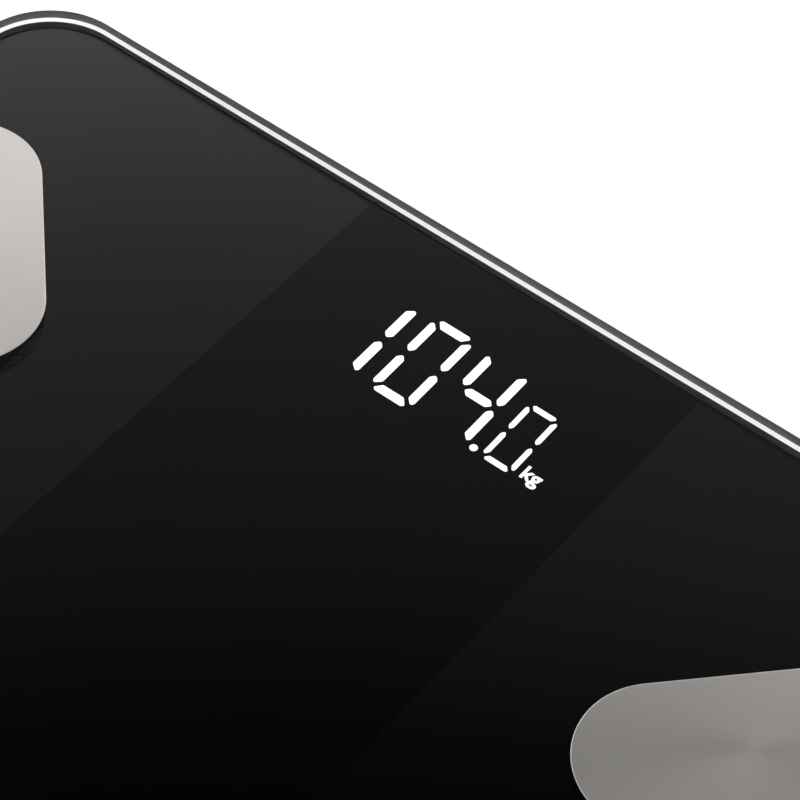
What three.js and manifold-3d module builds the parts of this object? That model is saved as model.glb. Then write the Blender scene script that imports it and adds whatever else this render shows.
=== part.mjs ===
// Digital bathroom scale with a glass platform, four electrodes and four load cells.
// Millimetres, +Z up. The origin is on the floor under the middle of the platform.
// +Y points to the display side, and +X to the right of a person who stands on it.
import * as THREE from "three";
import { mergeVertices } from "three/addons/utils/BufferGeometryUtils.js";
import Module from "manifold-3d";

const wasm = await Module();
wasm.setup();

// Platform
const GLASS_SIZE = 300;
const GLASS_CORNER = 21;
const GLASS_THICKNESS = 6;
const GLASS_CHAMFER = 0.75;
const GLASS_BOTTOM = 20;
const GLASS_TOP = GLASS_BOTTOM + GLASS_THICKNESS;
const WIRE_HOLE_RADIUS = 3;
const FILM_MARGIN = 1.1;
const FILM_THICKNESS = 0.25;
const FILM_BOTTOM = GLASS_BOTTOM - FILM_THICKNESS;

// Electrodes: stadium plates, each on a slant that points at its corner
const ELECTRODE_X = 107.2;
const ELECTRODE_Y = 76.35;
const ELECTRODE_RADIUS = 18.3;
const ELECTRODE_HALF_LENGTH = 18.85;
const ELECTRODE_SLANT = THREE.MathUtils.degToRad(46.5);
const ELECTRODE_THICKNESS = 0.5;
const STUD_RADIUS = 2;
const ELECTRODE_CHAMFER = 0.125;
const STUD_BOTTOM = 16.5;

// Tray
const TRAY_SIZE = 280;
const TRAY_CORNER = 17;
const TRAY_BOTTOM = 4;
const TRAY_TOP = 19;
const TRAY_WALL = 2.25;
const TRAY_FLOOR_TOP = 6;
const TRAY_CHAMFER = 2;
const TRAY_CORNER_STEPS = 12;
const TRAY_FLANGE = 6;
const FLANGE_THICKNESS = 2;
const RIB_HEIGHT = 3;
const RIB_WIDTH = 1.5;
const RIB_PLACE = 70;
const GUIDE_WALL = 1.5;
const GUIDE_CLEARANCE = 1;
const BOSS_RADIUS = 3.5;
const BOSS_BORE = 1.3;
const BOSS_BORE_END = TRAY_FLOOR_TOP + 0.5;
const TAPE_MARGIN = 0.5;
const ROOTED = 1; // how far an added wall or boss reaches into what it stands on
const PAST = 1; // how far a cutting tool runs past the face that it cuts

// Feet and load cells
const FOOT_PLACE = 110;
const FOOT_HOLE_RADIUS = 20;
const FOOT_SIDES = 40;
const FOOT_RADIUS = 19;
const FOOT_FLANGE_RADIUS = 22;
const FOOT_FLANGE_BOTTOM = TRAY_FLOOR_TOP + 0.5;
const FOOT_FLANGE_TOP = FOOT_FLANGE_BOTTOM + 1;
const FOOT_EDGE = 1; // the cap's bevel, and how far its skirt reaches down round the pad
const PAD_RADIUS = 16;
const PAD_FLAT_RADIUS = 14.75;
const PAD_PLAY = 0.5;
const PAD_HEIGHT = 2.5;
const FOOT_POST_RADIUS = 4.5;
const FOOT_POST_TOP = 9.75;
const CELL_SIZE = 34;
const CELL_BOTTOM = 10.5;
const CELL_THICKNESS = 2.5;
const CELL_CORNER = 3;
const CELL_RIM = 6;
const CELL_SLOT = 2.5;
const BRACKET_SIZE = 42;
const BRACKET_BOTTOM = 9.75;
const BRACKET_TOP = 19.5;
const BRACKET_LEDGE = CELL_BOTTOM + CELL_THICKNESS + 0.25;
const BRACKET_ROOF = 2;
const BRACKET_PLAY = 0.5; // between the load cell and the bracket, on each side
const LEAD_NOTCH_PLACE = 10;
const LEAD_NOTCH_WIDTH = 4;

// Circuit board and display
const BOARD_BOTTOM = 10.5;
const BOARD_TOP = 12;
const BOARD_HALF_WIDTH = 50;
const BOARD_FRONT = 84;
const BOARD_BACK = 132.1;
const BOARD_HOLES = [[-45, 89], [45, 89], [-45, 126], [45, 126]];
const BOARD_HOLE_RADIUS = 1.4;
const LAMP_SIZE = 1.4;
const LAMP_HEIGHT = 0.6;
const CHIP = { place: [-40, 106], size: [10, 10, 1.5] };
const RADIO = { place: [43, 106], size: [11, 16, 2.5] };
const HEADER = { place: [0, 88.5], size: [62, 5, 5.5] };
const DISPLAY_TOP = 19;
const DISPLAY_CENTRE = [2, 116.15];
const DISPLAY_SIZE = [67, 31];
const DISPLAY_CORNER = 1.5;
const DIFFUSER_THICKNESS = 0.25;
const DIFFUSER_INSET = 0.5;
const GASKET_BOTTOM = 17.5;
const GASKET_WALL = 1.5;
const GASKET_CLEARANCE = 0.25;
const DIGIT_HALF_WIDTH = 4.7;
const DIGIT_HALF_HEIGHT = 11.78;
const SEGMENT_CENTRE = 6;
const SEGMENT_WIDTH = 2.3;
const UPRIGHT_LENGTH = 10.2;
const LEVEL_LENGTH = 8.4;
const DIGIT_PITCH = 15.4;
const TENS_PLACE = -7.4;
const SMALL_DIGIT = 0.755;
const BASELINE = DISPLAY_CENTRE[1] - DIGIT_HALF_HEIGHT;
const DIGITS = [
  { x: TENS_PLACE - DIGIT_PITCH, scale: 1 },
  { x: TENS_PLACE, scale: 1 },
  { x: TENS_PLACE + DIGIT_PITCH, scale: 1 },
  { x: 21.9, scale: SMALL_DIGIT },
];
const POINT_CENTRE = [15.7, BASELINE + 0.1];
const POINT_RADIUS = 1.2;
const UNIT_CENTRE = [30.2, BASELINE + 1.4];
const UNIT_SIZE = [5.6, 4.8];

// Unit button and its switch, under the board
const BUTTON_PLACE = [39, 107];
const BUTTON_RADIUS = 4.5;
const BUTTON_HOLE_RADIUS = 5;
const BUTTON_BOTTOM = 3.5;
const BUTTON_EDGE = 0.5;
const BUTTON_FLANGE_BOTTOM = TRAY_FLOOR_TOP + 0.5;
const BUTTON_FLANGE_TOP = BUTTON_FLANGE_BOTTOM + 0.75;
const BUTTON_PUSHER_RADIUS = 2;
const BUTTON_PUSHER_TOP = BUTTON_FLANGE_BOTTOM + 1;
const BUTTON_FLANGE_RADIUS = 6;
const BUTTON_FLANGE_ROOM = 6.75;
const BUTTON_BOSS_RADIUS = 8;
const BUTTON_BOSS_HEIGHT = 2;
const SWITCH_SIZE = 6;
const SWITCH_BOTTOM = 9;
const SWITCH_NUB_RADIUS = 1.6;
const SWITCH_NUB_HEIGHT = 0.4;

// Battery bay: three AAA cells side by side along Y
const BATTERY_RADIUS = 5.15;
const BATTERY_LENGTH = 44.5;
const BATTERY_PITCH = 11.5;
const BATTERY_HEIGHT = 11.75;
const BATTERY_SHIFT = 1.75;
const BATTERY_NUB_RADIUS = 1.9;
const BATTERY_NUB_HEIGHT = 0.9;
const BATTERY_EDGE = 0.5;
const BAY_HALF = [18.5, 26.25];
const BAY_WALL = 1.75;
const BAY_CEILING = 17.5;
const BAY_APRON = 5;
const LATCH_APRON = 9;
const APRON_HEIGHT = 2;
const DOOR_OPENING_HALF = [20.5, 28.5];
const DOOR_THICKNESS = 1.75;
const DOOR_GAP = 0.5;
const DOOR_AXIS = [27, TRAY_BOTTOM + DOOR_THICKNESS / 2];
const DOOR_PIN_RADIUS = 0.6;
const DOOR_PIN_REACH = 1.8;
const PIN_HOLE_RADIUS = 0.95;
const PIN_HOLE_REACH = 2;
const LATCH = { halfWidth: 5, front: -25.9, back: -24.9, top: 7.5 };
const GRIP = { halfWidth: 7, pitch: 2, width: 1, depth: 0.5 };
const FINGER_NOTCH = { halfWidth: 8, length: 4, depth: 1.5 };

// Battery contacts: plates at both ends of the bay, with a tab where a lead is soldered
const PLATE_THICKNESS = 0.5;
const PLATE_INNER = 25.5;
const PLATE_BOTTOM = 8;
const PLATE_TOP = 15.5;
const PLATE_HALF_WIDTH = 4.5;
const TAB_HALF_WIDTH = 1.25;
const TAB_HEIGHT = 14;
const TAB_LENGTH = 6;
const TAB_SLOT_HALF = [2, 3, 0.75];
const SPRING = { turns: 3, stepsPerTurn: 8, length: 4.4, wideRadius: 3.4, narrowRadius: 1.8, wire: 0.35 };
const DIMPLE = { wideRadius: 2.2, narrowRadius: 1.4, height: 1.3, sunk: 0.3 };

// Leads: each route ends at its slot in the header on the board. The cells' and electrodes' are
// for the right side, and the left side mirrors them.
const LEAD_RADIUS = 1;
const THIN_LEAD_RADIUS = 0.6;
const LEAD_ROUTES = {
  cell: {
    back: [[92.2, 100, 11.6], [84, 99, 11.4], [66, 90, 11], [50, 79, 11.4], [32, 76, 12.4],
      [27, 79, 14], [27, 85.6, 14.8]],
    front: [[92.2, -100, 11.6], [80, -97, 11.2], [62, -60, 11], [45, 0, 11], [33, 45, 11.5],
      [14, 70, 12.6], [9, 79, 14], [9, 85.6, 14.8]],
  },
  electrode: {
    back: [[104.6, 76.35, 17.2], [92, 75, 15.4], [60, 72, 13], [40, 70, 13], [26, 72, 13.4],
      [21, 79, 14], [21, 85.6, 14.8]],
    front: [[104.6, -76.35, 17.2], [90, -71, 15.4], [70, -50, 13], [53, 0, 12.6], [40, 45, 12.6],
      [21, 72, 13], [15, 79, 14], [15, 85.6, 14.8]],
  },
  positive: [[-11.5, 32.6, 14], [-10.5, 38, 13], [-5, 60, 12.6], [-3, 76, 13.6], [-3, 85.6, 14.8]],
  negative: [[11.5, -32.6, 14], [15, -38, 12.6], [27, -34, 12], [30, 0, 12], [25, 34, 12],
    [9, 62, 12.6], [3, 76, 13.6], [3, 85.6, 14.8]],
};

const CORNERS = [
  { name: "back_left", x: -1, y: 1 },
  { name: "back_right", x: 1, y: 1 },
  { name: "front_left", x: -1, y: -1 },
  { name: "front_right", x: 1, y: -1 },
];

const MATERIALS = {
  glass: plain(0x0b0c0d, 0.04, 0),
  film: plain(0x070708, 0.4, 0),
  tape: plain(0x2a2a2c, 0.9, 0),
  electrode: plain(0xc9c5c1, 0.32, 1),
  tray: plain(0x1b1c1e, 0.55, 0),
  bracket: plain(0xe6e6e2, 0.5, 0),
  loadCell: plain(0xa9adb0, 0.35, 1),
  footCap: plain(0x2b2c2e, 0.5, 0),
  rubber: plain(0x55585b, 0.85, 0),
  board: plain(0x0f4a2a, 0.35, 0),
  chip: plain(0x151517, 0.5, 0),
  tin: plain(0xbfc2c4, 0.3, 1),
  whitePlastic: plain(0xf0f0ec, 0.5, 0),
  diffuser: plain(0xfafafa, 0.6, 0),
  nickel: plain(0xc8c5bb, 0.25, 1),
  battery: plain(0x6d7a86, 0.3, 0.3),
  redLead: plain(0xb02018, 0.45, 0),
  blackLead: plain(0x18181a, 0.45, 0),
  whiteLead: plain(0xe4e4e0, 0.45, 0),
  screw: plain(0x9a9ca0, 0.3, 1),
};

function plain(color, roughness, metalness) {
  return new THREE.MeshStandardMaterial({ color, roughness, metalness });
}

// ---- Shapes and solids ----

function roundedRectangle(halfX, halfY, radius) {
  const shape = new THREE.Shape();
  shape.absarc(halfX - radius, halfY - radius, radius, 0, Math.PI / 2);
  shape.absarc(radius - halfX, halfY - radius, radius, Math.PI / 2, Math.PI);
  shape.absarc(radius - halfX, radius - halfY, radius, Math.PI, 1.5 * Math.PI);
  shape.absarc(halfX - radius, radius - halfY, radius, 1.5 * Math.PI, 2 * Math.PI);
  return shape;
}

function roundedSquare(size, radius) {
  return roundedRectangle(size / 2, size / 2, radius);
}

function stadium(halfLength, radius) {
  const shape = new THREE.Shape();
  shape.absarc(halfLength, 0, radius, -Math.PI / 2, Math.PI / 2);
  shape.absarc(-halfLength, 0, radius, Math.PI / 2, 1.5 * Math.PI);
  return shape;
}

function polygon(radius, sides) {
  const corner = (i) => {
    const angle = (2 * Math.PI * i) / sides;
    return new THREE.Vector2(radius * Math.cos(angle), radius * Math.sin(angle));
  };
  return new THREE.Shape(Array.from({ length: sides }, (_, i) => corner(i)));
}

// A straight prism from height bottom to top, with its edges chamfered inwards where asked.
function prism(shape, bottom, top, chamfer = 0, curveSegments = 6) {
  const geometry = new THREE.ExtrudeGeometry(shape, {
    depth: top - bottom - 2 * chamfer,
    curveSegments,
    bevelEnabled: chamfer > 0,
    bevelThickness: chamfer,
    bevelSize: chamfer,
    bevelOffset: -chamfer,
    bevelSegments: 1,
  });
  return geometry.translate(0, 0, bottom + chamfer);
}

// A box between two x, two y and two z values, each pair in either order.
function block(x0, x1, y0, y1, z0, z1) {
  const geometry = new THREE.BoxGeometry(Math.abs(x1 - x0), Math.abs(y1 - y0), Math.abs(z1 - z0));
  return geometry.translate((x0 + x1) / 2, (y0 + y1) / 2, (z0 + z1) / 2);
}

function rod(x, y, radius, bottom, top, sides = 16) {
  return prism(polygon(radius, sides), bottom, top).translate(x, y, 0);
}

// A body turned about the vertical axis; the profile lists [radius, height] upwards along the outside.
function turned(profile, sides = 24) {
  const points = profile.map(([radius, height]) => new THREE.Vector2(radius, height));
  return new THREE.LatheGeometry(points, sides).rotateX(Math.PI / 2);
}

function tube(points, radius, steps, sides = 6) {
  const path = new THREE.CatmullRomCurve3(points.map((p) => new THREE.Vector3(...p)));
  return new THREE.ExtrudeGeometry(polygon(radius, sides), { steps, extrudePath: path });
}

function solid(geometry) {
  const bare = geometry.clone();
  bare.deleteAttribute("normal");
  bare.deleteAttribute("uv");
  const merged = mergeVertices(bare, 1e-4);
  const index = merged.index.array;
  const kept = [];
  for (let i = 0; i < index.length; i += 3) {
    const [a, b, c] = [index[i], index[i + 1], index[i + 2]];
    if (a !== b && b !== c && c !== a) kept.push(a, b, c);
  }
  const vertProperties = merged.attributes.position.array;
  const triVerts = new Uint32Array(kept);
  return new wasm.Manifold(new wasm.Mesh({ numProp: 3, vertProperties, triVerts }));
}

function join(...geometries) {
  return geometries.map(solid).reduce((whole, next) => whole.add(next));
}

function cut(body, ...tools) {
  return tools.map(solid).reduce((rest, tool) => rest.subtract(tool), body);
}

function geometryOf(body) {
  const mesh = body.getMesh();
  const geometry = new THREE.BufferGeometry();
  geometry.setAttribute("position", new THREE.BufferAttribute(mesh.vertProperties.slice(), 3));
  geometry.setIndex(new THREE.BufferAttribute(mesh.triVerts.slice(), 1));
  geometry.computeVertexNormals();
  return geometry;
}

// ---- The assembly ----

const scale = new THREE.Group();

function place(name, shape, material) {
  const geometry = shape.isBufferGeometry ? shape : geometryOf(shape);
  const mesh = new THREE.Mesh(geometry, material);
  mesh.name = name;
  scale.add(mesh);
  return mesh;
}

function wireHoles(bottom, top) {
  const [low, high] = [bottom - PAST, top + PAST];
  const hole = (c) => rod(c.x * ELECTRODE_X, c.y * ELECTRODE_Y, WIRE_HOLE_RADIUS, low, high, 12);
  return CORNERS.map(hole);
}

function addGlassPlatform() {
  const outline = roundedSquare(GLASS_SIZE, GLASS_CORNER);
  const slab = solid(prism(outline, GLASS_BOTTOM, GLASS_TOP, GLASS_CHAMFER, 8));
  place("glass_platform", cut(slab, ...wireHoles(GLASS_BOTTOM, GLASS_TOP)), MATERIALS.glass);
}

function addBackingFilm() {
  const outline = roundedSquare(GLASS_SIZE - 2 * FILM_MARGIN, GLASS_CORNER - FILM_MARGIN);
  const sheet = solid(prism(outline, FILM_BOTTOM, GLASS_BOTTOM, 0, 8));
  place("backing_film", cut(sheet, ...wireHoles(FILM_BOTTOM, GLASS_BOTTOM)), MATERIALS.film);
}

function addBondingTape() {
  const mouth = TRAY_SIZE - 2 * TRAY_FLANGE;
  const outer = roundedSquare(TRAY_SIZE - 2 * TAPE_MARGIN, TRAY_CORNER - TAPE_MARGIN);
  const inner = roundedSquare(mouth + 2 * TAPE_MARGIN, TRAY_CORNER - TRAY_FLANGE);
  const ring = solid(prism(outer, TRAY_TOP, FILM_BOTTOM));
  place("bonding_tape", cut(ring, prism(inner, TRAY_TOP - PAST, FILM_BOTTOM + PAST)), MATERIALS.tape);
}

// The plate and its welded stud are one piece; the stud goes down through the glass.
function addElectrode(corner) {
  const outline = stadium(ELECTRODE_HALF_LENGTH, ELECTRODE_RADIUS);
  const plate = prism(outline, GLASS_TOP, GLASS_TOP + ELECTRODE_THICKNESS, ELECTRODE_CHAMFER, 12);
  const stud = rod(0, 0, STUD_RADIUS, STUD_BOTTOM, GLASS_TOP + ELECTRODE_THICKNESS / 2, 8);
  const mesh = place(`electrode_${corner.name}`, join(plate, stud), MATERIALS.electrode);
  mesh.position.set(corner.x * ELECTRODE_X, corner.y * ELECTRODE_Y, 0);
  mesh.rotation.z = corner.x * corner.y * ELECTRODE_SLANT;
}

// ---- Tray ----

function trayShell() {
  const outline = roundedSquare(TRAY_SIZE, TRAY_CORNER);
  const room = roundedSquare(TRAY_SIZE - 2 * TRAY_WALL, TRAY_CORNER - TRAY_WALL);
  const mouth = roundedSquare(TRAY_SIZE - 2 * TRAY_FLANGE, TRAY_CORNER - TRAY_FLANGE);
  const half = TRAY_SIZE;
  const top = TRAY_TOP + 2 * TRAY_CHAMFER;
  const tall = solid(prism(outline, TRAY_BOTTOM, top, TRAY_CHAMFER, TRAY_CORNER_STEPS));
  return cut(
    tall,
    block(-half, half, -half, half, TRAY_TOP, top + PAST),
    prism(room, TRAY_FLOOR_TOP, TRAY_TOP - FLANGE_THICKNESS),
    prism(mouth, TRAY_TOP - FLANGE_THICKNESS - PAST, TRAY_TOP + PAST),
  );
}

function trayRibs() {
  const end = TRAY_SIZE / 2 - TRAY_WALL + ROOTED;
  const top = TRAY_FLOOR_TOP + RIB_HEIGHT;
  const low = TRAY_FLOOR_TOP - ROOTED;
  const ribs = [];
  for (const side of [-RIB_PLACE, RIB_PLACE]) {
    ribs.push(block(side - RIB_WIDTH / 2, side + RIB_WIDTH / 2, -end, end, low, top));
    ribs.push(block(-end, end, side - RIB_WIDTH / 2, side + RIB_WIDTH / 2, low, top));
  }
  return ribs;
}

function footGuide(corner) {
  const inner = FOOT_FLANGE_RADIUS + GUIDE_CLEARANCE;
  const outer = inner + GUIDE_WALL;
  const low = TRAY_FLOOR_TOP - ROOTED;
  const top = TRAY_FLOOR_TOP + RIB_HEIGHT;
  const profile = [[inner, low], [outer, low], [outer, top], [inner, top], [inner, low]];
  return turned(profile).translate(corner.x * FOOT_PLACE, corner.y * FOOT_PLACE, 0);
}

function bayWalls() {
  const [halfX, halfY] = BAY_HALF;
  const [wallX, wallY, apronX] = [halfX + BAY_WALL, halfY + BAY_WALL, halfX + BAY_APRON];
  const low = TRAY_FLOOR_TOP - ROOTED;
  const top = TRAY_TOP - 0.25;
  return [
    block(-apronX, apronX, -halfY - LATCH_APRON, halfY + BAY_APRON, low, TRAY_FLOOR_TOP + APRON_HEIGHT),
    block(-wallX, wallX, -wallY, wallY, low, top),
  ];
}

function bayCuts() {
  const [halfX, halfY] = BAY_HALF;
  const [openX, openY] = DOOR_OPENING_HALF;
  const low = TRAY_BOTTOM - PAST;
  const pinLength = 2 * (openX + PIN_HOLE_REACH);
  const pinHole = new THREE.CylinderGeometry(PIN_HOLE_RADIUS, PIN_HOLE_RADIUS, pinLength, 16);
  const notch = FINGER_NOTCH;
  const [slotX, slotY, slotZ] = TAB_SLOT_HALF;
  const tabSlot = (x, y) => block(x - slotX, x + slotX, y - slotY, y + slotY,
    TAB_HEIGHT - slotZ, TAB_HEIGHT + slotZ);
  return [
    block(-openX, openX, -openY, openY, low, TRAY_FLOOR_TOP),
    block(-halfX, halfX, -halfY, halfY, low, BAY_CEILING),
    block(-notch.halfWidth, notch.halfWidth, -openY - notch.length, -openY + PAST, low,
      TRAY_BOTTOM + notch.depth),
    pinHole.rotateZ(Math.PI / 2).translate(0, ...DOOR_AXIS),
    tabSlot(-BATTERY_PITCH, halfY),
    tabSlot(BATTERY_PITCH, -halfY),
  ];
}

function addTray() {
  const [buttonX, buttonY] = BUTTON_PLACE;
  const low = TRAY_FLOOR_TOP - ROOTED;
  const high = TRAY_FLOOR_TOP + BUTTON_BOSS_HEIGHT;
  const boss = ([x, y]) => rod(x, y, BOSS_RADIUS, low, BOARD_BOTTOM, 12);
  const bore = ([x, y]) => rod(x, y, BOSS_BORE, BOSS_BORE_END, BOARD_BOTTOM + PAST, 8);
  const footHole = (c) => rod(c.x * FOOT_PLACE, c.y * FOOT_PLACE, FOOT_HOLE_RADIUS, 0,
    TRAY_FLOOR_TOP + ROOTED, FOOT_SIDES);
  const added = [
    ...trayRibs(),
    ...CORNERS.map(footGuide),
    ...bayWalls(),
    ...BOARD_HOLES.map(boss),
    rod(buttonX, buttonY, BUTTON_BOSS_RADIUS, low, high),
  ];
  const removed = [
    ...CORNERS.map(footHole),
    ...bayCuts(),
    ...BOARD_HOLES.map(bore),
    rod(buttonX, buttonY, BUTTON_HOLE_RADIUS, 0, high + PAST),
    rod(buttonX, buttonY, BUTTON_FLANGE_ROOM, TRAY_FLOOR_TOP, high + PAST),
  ];
  const whole = added.map(solid).reduce((sum, next) => sum.add(next), trayShell());
  place("base_tray", cut(whole, ...removed), MATERIALS.tray);
}

// ---- Feet and load cells ----

function addLoadCell(corner) {
  const half = CELL_SIZE / 2;
  const top = CELL_BOTTOM + CELL_THICKNESS;
  const frame = solid(prism(roundedSquare(CELL_SIZE, CELL_CORNER), CELL_BOTTOM, top, 0, 2));
  const reach = half - CELL_RIM;
  const [low, high] = [CELL_BOTTOM - PAST, top + PAST];
  const body = cut(
    frame,
    block(-reach, CELL_SLOT - reach, -reach, reach, low, high),
    block(reach - CELL_SLOT, reach, -reach, reach, low, high),
    block(-reach, reach, -reach, CELL_SLOT - reach, low, high),
  );
  const mesh = place(`load_cell_${corner.name}`, body, MATERIALS.loadCell);
  mesh.position.set(corner.x * FOOT_PLACE, corner.y * FOOT_PLACE, 0);
  mesh.rotation.z = corner.y > 0 ? 0 : Math.PI;
}

// A square cup, mouth down: the load cell's frame bears on the ledge inside it.
function addLoadCellBracket(corner) {
  const low = BRACKET_BOTTOM - PAST;
  const farX = -corner.x * (BRACKET_SIZE / 2 + PAST);
  const nearX = -corner.x * LEAD_NOTCH_PLACE;
  const notchY = -corner.y * LEAD_NOTCH_PLACE;
  const halfNotch = LEAD_NOTCH_WIDTH / 2;
  const outside = roundedSquare(BRACKET_SIZE, CELL_CORNER + 2 * BRACKET_PLAY);
  const seat = roundedSquare(CELL_SIZE + 2 * BRACKET_PLAY, CELL_CORNER);
  const well = roundedSquare(CELL_SIZE - CELL_RIM, CELL_CORNER);
  const body = cut(
    solid(prism(outside, BRACKET_BOTTOM, BRACKET_TOP, 0, 2)),
    prism(seat, low, BRACKET_LEDGE, 0, 2),
    prism(well, BRACKET_LEDGE - PAST, BRACKET_TOP - BRACKET_ROOF, 0, 2),
    block(farX, nearX, notchY - halfNotch, notchY + halfNotch, low, BRACKET_LEDGE),
  );
  const mesh = place(`load_cell_bracket_${corner.name}`, body, MATERIALS.bracket);
  mesh.position.set(corner.x * FOOT_PLACE, corner.y * FOOT_PLACE, 0);
}

function addFoot(corner) {
  const skirt = PAD_HEIGHT - FOOT_EDGE;
  const socket = PAD_RADIUS + PAD_PLAY;
  const cap = turned([
    [0, PAD_HEIGHT],
    [socket, PAD_HEIGHT],
    [socket, skirt],
    [FOOT_RADIUS - FOOT_EDGE, skirt],
    [FOOT_RADIUS, skirt + FOOT_EDGE],
    [FOOT_RADIUS, FOOT_FLANGE_BOTTOM],
    [FOOT_FLANGE_RADIUS, FOOT_FLANGE_BOTTOM],
    [FOOT_FLANGE_RADIUS, FOOT_FLANGE_TOP],
    [FOOT_POST_RADIUS, FOOT_FLANGE_TOP],
    [FOOT_POST_RADIUS, FOOT_POST_TOP],
    [0, FOOT_POST_TOP],
  ], FOOT_SIDES);
  const pad = turned([
    [0, 0],
    [PAD_FLAT_RADIUS, 0],
    [PAD_RADIUS, FOOT_EDGE],
    [PAD_RADIUS, PAD_HEIGHT],
    [0, PAD_HEIGHT],
  ], FOOT_SIDES);
  const [x, y] = [corner.x * FOOT_PLACE, corner.y * FOOT_PLACE];
  place(`foot_cap_${corner.name}`, cap.translate(x, y, 0), MATERIALS.footCap);
  place(`foot_pad_${corner.name}`, pad.translate(x, y, 0), MATERIALS.rubber);
}

// ---- Display and electronics ----

// A display segment: a bar with pointed ends.
function bar(length, width) {
  const [tip, side, end] = [length / 2, width / 2, length / 2 - width / 2];
  return new THREE.Shape([
    new THREE.Vector2(-tip, 0), new THREE.Vector2(-end, -side), new THREE.Vector2(end, -side),
    new THREE.Vector2(tip, 0), new THREE.Vector2(end, side), new THREE.Vector2(-end, side),
  ]);
}

// The seven segments of one digit, as [x, y, turned upright].
function segmentPlaces({ x, scale: size }) {
  const middle = BASELINE + DIGIT_HALF_HEIGHT * size;
  const places = [-1, 0, 1].map((row) => [x, middle + row * DIGIT_HALF_HEIGHT * size, false]);
  for (const side of [-1, 1])
    for (const row of [-1, 1])
      places.push([x + side * DIGIT_HALF_WIDTH * size, middle + row * SEGMENT_CENTRE * size, true]);
  return places;
}

// Every light opening of the display as a prism: 28 segments, the point and the unit.
function lightOpenings(bottom, top) {
  const bars = DIGITS.flatMap((digit) => segmentPlaces(digit).map(([x, y, upright]) => {
    const length = (upright ? UPRIGHT_LENGTH : LEVEL_LENGTH) * digit.scale;
    const piece = prism(bar(length, SEGMENT_WIDTH * digit.scale), bottom, top);
    return piece.rotateZ(upright ? Math.PI / 2 : 0).translate(x, y, 0);
  }));
  const [unitX, unitY] = UNIT_CENTRE;
  const [unitWidth, unitDepth] = UNIT_SIZE;
  const unit = block(unitX - unitWidth / 2, unitX + unitWidth / 2, unitY - unitDepth / 2,
    unitY + unitDepth / 2, bottom, top);
  return [...bars, rod(...POINT_CENTRE, POINT_RADIUS, bottom, top, 12), unit];
}

// The display's outline, grown on every side, as a prism.
function displayBlock(grow, bottom, top) {
  const [x, y] = DISPLAY_CENTRE;
  const [width, depth] = DISPLAY_SIZE;
  const corner = DISPLAY_CORNER + Math.max(grow, 0);
  const outline = roundedRectangle(width / 2 + grow, depth / 2 + grow, corner);
  return prism(outline, bottom, top, 0, 2).translate(x, y, 0);
}

function addDisplay() {
  const chambers = lightOpenings(BOARD_TOP - PAST, DISPLAY_TOP + PAST);
  const reflector = cut(solid(displayBlock(0, BOARD_TOP, DISPLAY_TOP)), ...chambers);
  place("display_reflector", reflector, MATERIALS.whitePlastic);
  const sheetTop = DISPLAY_TOP + DIFFUSER_THICKNESS;
  const sheet = displayBlock(-DIFFUSER_INSET, DISPLAY_TOP, sheetTop);
  const diffuser = join(sheet, ...lightOpenings(DISPLAY_TOP, sheetTop + DIFFUSER_THICKNESS));
  place("display_diffuser", diffuser, MATERIALS.diffuser);
  const outside = displayBlock(GASKET_CLEARANCE + GASKET_WALL, GASKET_BOTTOM, FILM_BOTTOM);
  const inside = displayBlock(GASKET_CLEARANCE, GASKET_BOTTOM - PAST, FILM_BOTTOM + PAST);
  place("display_gasket", cut(solid(outside), inside), MATERIALS.tape);
}

// A component standing on the circuit board.
function onBoard([x, y], [width, depth, height], rooted = 0) {
  const [halfX, halfY] = [width / 2, depth / 2];
  return block(x - halfX, x + halfX, y - halfY, y + halfY, BOARD_TOP - rooted, BOARD_TOP + height);
}

function addBoard() {
  const half = BOARD_HALF_WIDTH;
  const plate = block(-half, half, BOARD_FRONT, BOARD_BACK, BOARD_BOTTOM, BOARD_TOP);
  const lamp = ([x, y]) => onBoard([x, y], [LAMP_SIZE, LAMP_SIZE, LAMP_HEIGHT], ROOTED);
  const hole = ([x, y]) => rod(x, y, BOARD_HOLE_RADIUS, BOARD_BOTTOM - PAST, BOARD_TOP + PAST, 8);
  const lamps = DIGITS.flatMap(segmentPlaces).map(lamp);
  place("main_board", cut(join(plate, ...lamps), ...BOARD_HOLES.map(hole)), MATERIALS.board);
  place("controller_chip", onBoard(CHIP.place, CHIP.size), MATERIALS.chip);
  place("radio_module", onBoard(RADIO.place, RADIO.size), MATERIALS.tin);
  place("lead_header", onBoard(HEADER.place, HEADER.size), MATERIALS.whitePlastic);
}

function addBoardScrews() {
  const [shank, head, crown] = [1, 2.4, 1.6];
  const [edge, top] = [BOARD_TOP + 0.9, BOARD_TOP + 1.5];
  const tip = BOARD_BOTTOM - 3;
  const profile = [
    [0, tip],
    [shank, tip + shank],
    [shank, BOARD_TOP],
    [head, BOARD_TOP],
    [head, edge],
    [crown, top],
    [0, top],
  ];
  BOARD_HOLES.forEach(([x, y], i) => {
    place(`board_screw_${i + 1}`, turned(profile, 12).translate(x, y, 0), MATERIALS.screw);
  });
}

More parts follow.
